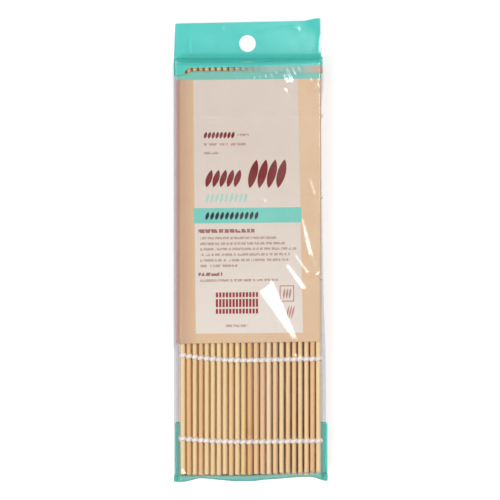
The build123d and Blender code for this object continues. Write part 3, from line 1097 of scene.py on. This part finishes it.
def lit_fold(xs, ys, start, end, first_width, last_width):
    """Height of a fold whose far side slopes just enough to mirror the lamp to the camera."""
    along, across = along_and_across(xs, ys, start, end)
    width = tapered(along, first_width, last_width)
    length = (Vector(end) - Vector(start)).length * mm
    fade = min(fold_most_fade_share, fold_fade / length + fold_least_fade_share)
    window = eased((along + fade / 2) / fade) * eased((1 + fade / 2 - along) / fade)
    share = across / width + 0.5
    fall = np.clip(share, 0, 1)
    far_side = 1 - fall * (1 - fold_hollow_share + fold_hollow_share * fall)
    profile = np.where(share < 0, eased((share + fold_near_share) / fold_near_share), far_side)
    return window * glare_slope * width * profile


def lit_crumple(xs, ys, start, end, first_width, last_width):
    """Height of small facets in a strip, each sloping just enough to mirror the lamp to the camera."""
    along, across = along_and_across(xs, ys, start, end)
    width = tapered(along, first_width, last_width)
    window = eased(along / crumple_fade + 0.5) * eased((1 - along) / crumple_fade + 0.5)
    window = window * eased(crumple_edge_share - np.abs(across) / width)
    steps = (xs * glare_across.x + ys * glare_across.y) / crumple_pitch
    share = steps - np.floor(steps)
    lit = 0.5 - share / crumple_lit_share
    back = (share - crumple_lit_share) / (1 - crumple_lit_share) - 0.5
    saw = np.where(share < crumple_lit_share, lit, back)
    return window * glare_slope * crumple_pitch * crumple_lit_share * saw


def wrinkle(xs, ys, start, end, height, width):
    """Height of a soft ridge that fades at both ends."""
    along, across = along_and_across(xs, ys, start, end)
    window = eased(along / wrinkle_fade) * eased((1 - along) / wrinkle_fade)
    return window * height * mm * np.exp(-((across / (width * mm)) ** 2))


def stick_end_y(xs):
    """Where the front sticks' lower ends lie."""
    return stick_middle_y - stick_length / 2 + front_drift(xs)


def film_slack(xs, ys):
    """How the slack film stands off its smooth form: waves, cord rows, folds, crumples and wrinkles."""
    slack = 0
    for height, size, seed in film_waves:
        slack = slack + height * soft_noise(xs, ys, size, seed)
    bare = eased((bare_start_y - ys) / bare_run)
    for row in bare_rows:
        row_y = row_first_y + row * row_step
        crumple = 1 + 0.5 * soft_noise(xs, ys, row_crumple_size, 5.5 + row)
        slack = slack + row_ridge_height * bare * crumple * np.exp(-((ys - row_y) / row_ridge_width) ** 2)
    for form, places in ((lit_fold, lit_folds), (lit_crumple, lit_crumples), (wrinkle, wrinkles)):
        for place in places:
            slack = slack + form(xs, ys, *place)
    return slack


def corner_crumples(xs, ys):
    """Small crumples at both corners of the mouth."""
    corner = 0
    for corner_x, reach in ((bag_left_x, left_corner_reach), (mouth_right_x, right_corner_reach)):
        corner = corner + np.exp(-(((xs - corner_x) / reach) ** 2 + ((ys - mouth_y) / corner_length) ** 2))
    return np.abs(corner_crumple_height * corner * soft_noise(xs, ys, corner_crumple_size, 9.7))


def softened(values, softness):
    """Shares from 0 to 1 along a slope whose ends are rounded a little."""
    return (1 - softness) * values + softness * eased(values)


def film_shape(across, along):
    """The front film: seams, side walls, the crown over the mat, and the slopes at both ends."""
    side = np.clip(np.minimum(across, 1 - across) / wall_share, 0, 1)
    inner = np.clip((across - wall_share) / (1 - 2 * wall_share), 0, 1)
    ys = mouth_y + (seal_y + seal_overlap - mouth_y) * along
    covered = eased((ys - covered_start_y) / covered_run)
    crown_left_x = bare_crown_left_x + (covered_crown_left_x - bare_crown_left_x) * covered
    outer_x = np.where(across < 0.5, bag_left_x, bag_right(ys))
    wall_x = np.where(across < 0.5, crown_left_x, crown_right_x)
    over_mat_x = crown_left_x + (crown_right_x - crown_left_x) * inner
    xs = np.where(side < 1, outer_x + (wall_x - outer_x) * side, over_mat_x)
    ys = ys + (mouth_edge(xs) - mouth_y) * (1 - along) ** front_mouth_power
    seam_share = np.minimum(seam_width / np.abs(wall_x - outer_x), most_seam_share)
    wall = softened(np.clip((side - seam_share) / (1 - seam_share), 0, 1), wall_softness)
    low_run = np.maximum(stick_end_y(xs) - mouth_gap - mouth_edge(xs), least_low_run)
    low_end = np.clip((ys - mouth_edge(xs) - mouth_gap) / low_run, 0, 1)
    high_run = seal_y - stick_top_y - high_run_gap - (stick_end_y(xs) - stick_end_y(-edge_stick_x))
    high_end = np.clip((seal_y - ys) / high_run, 0, 1)
    ends = softened(low_end, low_end_softness) * (high_end * (2 - high_end))
    crown = bare_crown_z + (crown_z - bare_crown_z) * eased((ys - crown_rise_start_y) / crown_rise_run)
    left_round = np.clip((xs - covered_crown_left_x) / left_round_width, 0, 1)
    crown = crown - covered * left_turn_height * (1 - np.sqrt(1 - (1 - left_round) ** 2)) * left_round_share
    height = (crown - foot_z + film_slack(xs, ys) - film_slack_depth) * wall * ends
    zs = foot_z + height + corner_crumples(xs, ys) * (0.3 + ends * wall)
    return xs, ys, np.maximum(zs, foot_z)


def front_film_material():
    """Clear film, printed at its top end and at the mouth, and milky where it's gathered at the top."""
    material, add = new_material("front_film")
    reckon = reckoner(add)
    clear = clear_film_parts(add)
    in_mm, x, y = place_in_mm(add)

    def over_range(value, start, end, low=0.0, high=1.0):
        ends = {"From_Min": start, "From_Max": end, "To_Min": low, "To_Max": high}
        return add("ShaderNodeMapRange", Value=value, **ends).outputs[0]

    right_half = over_range(x, -14.0, 12.0, high=0.62)
    gathered = over_range(y, 104.4, 105.2)
    veil_colour = coloured_over(add, over_range(x, 30.0, 38.0), linear(160, 204, 194), linear(214, 184, 172))
    veil = add("ShaderNodeBsdfPrincipled", Base_Color=veil_colour, Roughness=0.35).outputs[0]
    veil_share = reckon("MULTIPLY", right_half, gathered)
    veiled = add("ShaderNodeMixShader", _0=veil_share, _1=clear, _2=veil).outputs[0]

    stick_ends = over_range(x, -5.0, 41.0, -133.5, -131.9)
    mouth_share = over_range(reckon("SUBTRACT", stick_ends, y), -0.3, 0.9, high=0.8)
    mouth_ink = add("ShaderNodeBsdfPrincipled", Base_Color=linear(84, 198, 180), Roughness=0.25).outputs[0]
    wrapped = add("ShaderNodeMixShader", _0=mouth_share, _1=veiled, _2=mouth_ink).outputs[0]

    drop = add("ShaderNodeMapRange", {"interpolation_type": "SMOOTHSTEP"}, Value=x, From_Min=-36.4,
               From_Max=-42.0, To_Min=0.0, To_Max=4.2).outputs[0]
    edge = reckon("SUBTRACT", reckon("ADD", reckon("MULTIPLY", x, 0.022), 108.2), drop)
    ink = add("ShaderNodeBsdfPrincipled", Base_Color=linear(80, 200, 188), Roughness=0.2).outputs[0]
    film = add("ShaderNodeMixShader", _0=reckon("GREATER_THAN", y, edge), _1=wrapped, _2=ink).outputs[0]
    add("ShaderNodeOutputMaterial", Surface=film)
    return material


front_film = shaped_sheet("bag_front", film_columns, film_rows, film_shape)
front_film.data.materials.append(front_film_material())
give_thickness(front_film, film_thickness * front_thickness_share)
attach(front_film, "bag")
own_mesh(front_film)
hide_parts("bag_front_film", "bag_side_seams")

# Header: both films welded flat above the mat, printed teal and cut off at a slant, with a round
# hole punched for a display hook. Its free right corner has lifted a little.
header_smooth_angle = math.radians(40)
header_columns = 112
header_rows = 32
header_slant = 3.1 * mm
header_overlap = 0.4 * mm
header_left_inset = 0.9 * mm
header_right_inset = 0.9 * mm
header_right_narrowing = 0.698 * mm
header_tip_drop = 1.3 * mm
header_tip_share = 0.97
header_tip_width_share = 0.08
hole_radius = 5.0 * mm
hole_x = -2.2 * mm
hole_y = seal_y + 8.8 * mm
hole_sides = 64
punch_depth = 4 * mm
header_thickness = header_high.z - header_low.z
header_weld_z = 0.3 * mm
header_free_z = 0.5 * mm
header_waves = ((0.05 * mm, 26 * mm, 1.7), (0.01 * mm, 6 * mm, 4.4))
header_corner_lift = 1.6 * mm
header_corner_width = 6 * mm
header_corner_length = 5 * mm
header_rise_run = 3 * mm
# The header's own lit folds and soft wrinkles, written as the front film's are
header_folds = [
    ((24.0, 132.3), (28.4, 131.6), 0.8, 1.0),
    ((-17.6, 132.6), (-16.2, 130.2), 0.5, 0.6),
    ((-44.6, 124.0), (-44.9, 114.0), 0.25, 0.45),
    ((-43.8, 113.6), (-42.6, 111.8), 1.0, 1.0),
    ((-41.4, 112.0), (-41.2, 108.0), 0.4, 0.4),
    ((37.4, 118.8), (38.2, 117.6), 0.6, 0.7),
    ((-37.6, 131.9), (-31.4, 131.9), 0.35, 0.35),
    ((-14.4, 116.4), (-13.8, 115.4), 0.4, 0.4),
]
header_wrinkles = [
    ((2.0, 128.8), (30.0, 132.8), 0.10, 0.8),
    ((-37.0, 127.0), (-36.4, 110.0), 0.07, 0.6),
    ((-4.0, 113.2), (42.0, 115.6), 0.14, 0.7),
    ((-40.0, 110.6), (40.0, 113.0), 0.20, 1.0),
    ((12.0, 118.0), (33.0, 130.0), 0.03, 2.0),
    ((41.0, 134.0), (39.4, 115.0), 0.14, 1.0),
    ((33.0, 134.4), (41.0, 136.2), 0.22, 0.8),
]


def header_plan(across, along):
    """The flat header's X and Y: slanting at its top, narrower there, and cut back at its right tip."""
    tip = max(0.0, min(1.0, (header_tip_share - across) / header_tip_width_share))
    top_y = bag_top_y - header_slant * (1 - across) - header_tip_drop * across * tip
    low_y = seal_y - header_overlap
    left_x = bag_left_x + header_left_inset * along
    right_x = bag_right(seal_y) - header_right_inset - header_right_narrowing * along
    return left_x + (right_x - left_x) * across, low_y + (top_y - low_y) * along


def header_rise(xs, ys):
    """How far the header stands off the table: low waves, creases, and a lifted right corner."""
    rise = header_free_z
    for height, size, seed in header_waves:
        rise = rise + height * soft_noise(xs, ys, size, seed)
    for form, places in ((lit_fold, header_folds), (wrinkle, header_wrinkles)):
        for place in places:
            rise = rise + form(xs, ys, *place)
    aside, below = (xs - header_high.x) / header_corner_width, (ys - bag_top_y) / header_corner_length
    lift = header_corner_lift * np.exp(-(aside ** 2 + below ** 2))
    return (rise + lift) * eased((ys - seal_y) / header_rise_run) + header_weld_z


bpy.ops.object.select_all(action="DESELECT")
bpy.ops.mesh.primitive_grid_add(x_subdivisions=header_columns, y_subdivisions=header_rows, size=1)
header = bpy.context.object
header.name = "printed_header"
for vertex in header.data.vertices:
    vertex.co = (*header_plan(vertex.co.x + 0.5, vertex.co.y + 0.5), 0)
give_thickness(header, header_thickness)
bpy.ops.mesh.primitive_cylinder_add(vertices=hole_sides, radius=hole_radius, depth=punch_depth,
                                    location=(hole_x, hole_y, 0))
punch = bpy.context.object
hole = header.modifiers.new("hole", "BOOLEAN")
hole.object = punch
hole.operation = "DIFFERENCE"
finish_modifiers(header)
bpy.data.objects.remove(punch)
corners = np.empty(len(header.data.vertices) * 3)
header.data.vertices.foreach_get("co", corners)
corners = corners.reshape(-1, 3)
corners[:, 2] += header_rise(corners[:, 0], corners[:, 1])
header.data.vertices.foreach_set("co", corners.ravel())
header.data.update()
select_only(header)
bpy.ops.object.shade_smooth_by_angle(angle=header_smooth_angle)
header.data.materials.clear()
header.data.materials.append(printed_film)
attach(header, "bag")
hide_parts("bag_header")

# Table and light: a plain near-white table in a soft pale room, a soft lamp to the upper right, and
# a large weak one low on the left that fills the shadows.
table_size = 4.0
room_strength = 0.45
table_glow = 0.2
lamp_way = Vector((0.21, 0.121, 0.97)).normalized()
lamp_side = 0.25
lamp_distance = 1.5
lamp_watts = 7.85
fill_way = Vector((-0.6, -0.35, 0.72)).normalized()
fill_side = 0.8
fill_distance = 1.4
fill_watts = 7.6
photo_centre = Vector((-0.7, -0.1, 10.0)) * mm
photo_width = 295.5 * mm
lens_length = 500.0
sensor_width = 36.0
camera_height = photo_width * lens_length / sensor_width

bpy.ops.mesh.primitive_plane_add(size=table_size, location=(0, 0, 0))
table = bpy.context.object
table.name = "table"
table_material, add = new_material("table")
table_skin = add("ShaderNodeBsdfPrincipled", Base_Color=(0.95, 0.95, 0.95, 1), Roughness=0.9)
table_skin.inputs["Specular IOR Level"].default_value = 0.1
seen = add("ShaderNodeLightPath").outputs["Is Camera Ray"]
glow = add("ShaderNodeEmission", Strength=reckoner(add)("MULTIPLY", seen, table_glow))
lit_table = add("ShaderNodeAddShader", _0=table_skin.outputs[0], _1=glow.outputs[0])
add("ShaderNodeOutputMaterial", Surface=lit_table.outputs[0])
table.data.materials.append(table_material)

room = bpy.data.worlds.new("room")
bpy.context.scene.world = room
room.use_nodes = True
room.node_tree.nodes["Background"].inputs["Color"].default_value = (1, 1, 1, 1)
room.node_tree.nodes["Background"].inputs["Strength"].default_value = room_strength

for way, distance, side, watts in (
    (lamp_way, lamp_distance, lamp_side, lamp_watts),
    (fill_way, fill_distance, fill_side, fill_watts),
):
    bpy.ops.object.light_add(type="AREA", location=way * distance)
    lamp = bpy.context.object
    lamp.rotation_euler = way.to_track_quat("Z", "Y").to_euler()
    lamp.data.size = side
    lamp.data.energy = watts

bpy.ops.object.camera_add(location=photo_centre + Vector((0, 0, camera_height)), rotation=(0, 0, 0))
camera = bpy.context.object
camera.data.lens = lens_length
camera.data.sensor_width = sensor_width
bpy.context.scene.camera = camera
bpy.context.scene.view_settings.view_transform = "Standard"
